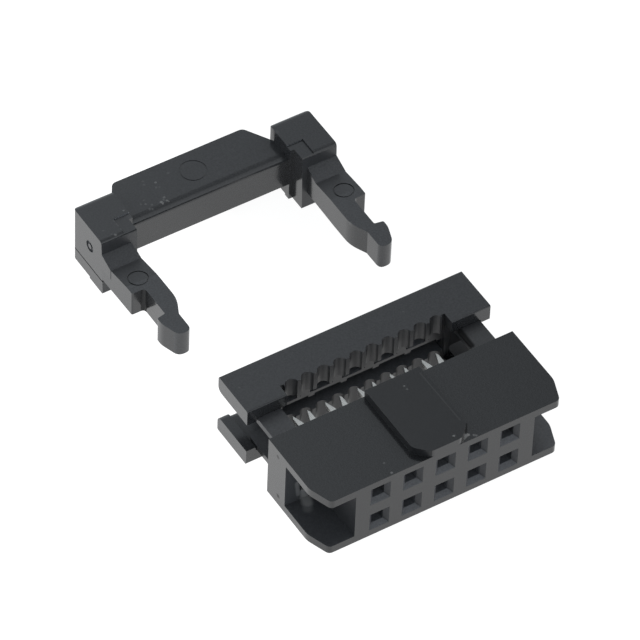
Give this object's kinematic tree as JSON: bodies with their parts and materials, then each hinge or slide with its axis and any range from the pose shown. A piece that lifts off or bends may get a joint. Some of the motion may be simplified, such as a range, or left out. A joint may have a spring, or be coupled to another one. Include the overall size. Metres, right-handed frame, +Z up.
{
  "type": "ribbon cable socket",
  "caption": "Flat ribbon cable socket: keyed housing with square pin funnels, a press-on cover over forked contacts, and a loose U-shaped strain relief clip.",
  "frame": {"origin": "middle of the housing's underside", "axes": "+X along the pin columns, +Y from the mating face to the cover and the clip, +Z up, on the key's side"},
  "size_m": [0.0196, 0.0332, 0.0058],
  "materials": {
    "housing_plastic": "black glass-filled polyester, satin as moulded",
    "cover_plastic": "black glass-filled polyester, satin as moulded",
    "clip_plastic": "black polyester, satin as moulded, scuffed on the bar",
    "tinned_bronze": "bright tin plate on phosphor bronze sheet"
  },
  "bodies": {
    "housing": {"housing": "housing_plastic", "strain_relief": "clip_plastic", "contact_1": "tinned_bronze", "contact_2": "tinned_bronze", "contact_3": "tinned_bronze", "contact_4": "tinned_bronze", "contact_5": "tinned_bronze", "contact_6": "tinned_bronze", "contact_7": "tinned_bronze", "contact_8": "tinned_bronze", "contact_9": "tinned_bronze", "contact_10": "tinned_bronze"},
    "cover": {"cover": "cover_plastic"}
  },
  "joints": [
    {"name": "cover_press", "type": "slide", "parent": "housing", "child": "cover", "axis": [0, -1, 0], "range_m": [0, 0.0026]}
  ]
}
